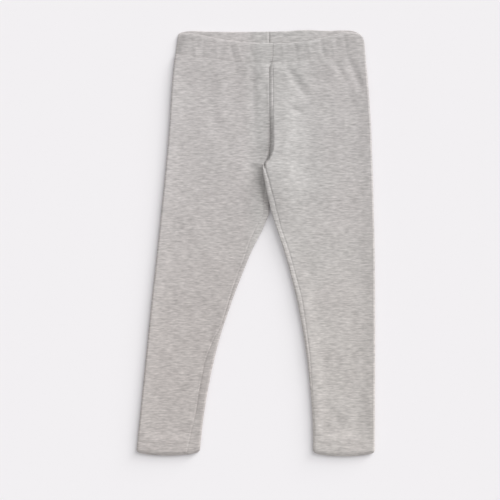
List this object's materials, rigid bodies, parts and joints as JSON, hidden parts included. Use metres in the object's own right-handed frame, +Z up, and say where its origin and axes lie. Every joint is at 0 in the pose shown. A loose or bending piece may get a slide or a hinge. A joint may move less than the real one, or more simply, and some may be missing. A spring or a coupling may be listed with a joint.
{
  "type": "leggings",
  "caption": "Child's plain jersey leggings laid flat with the front up, with an elastic waistband, folded outer sides, a curved rise seam and turned hems.",
  "frame": {"origin": "on the surface that the leggings lie on, under the middle of their bounding box", "axes": "+X towards the side on the viewer's right with the front up, +Y from the hems towards the waist, +Z up out of the surface"},
  "size_m": [0.3263, 0.5807, 0.009],
  "materials": {
    "leg_jersey": "matt single jersey in pale grey heather, short lighter and darker streaks along the courses",
    "waistband_jersey": "the same jersey, doubled over elastic and softly puckered",
    "hem_jersey": "the same jersey, turned up and coverstitched"
  },
  "bodies": {
    "root": {"waistband_left": "waistband_jersey", "waistband_right": "waistband_jersey", "leg_left": "leg_jersey", "leg_right": "leg_jersey", "hem_left": "hem_jersey", "hem_right": "hem_jersey"}
  },
  "joints": []
}
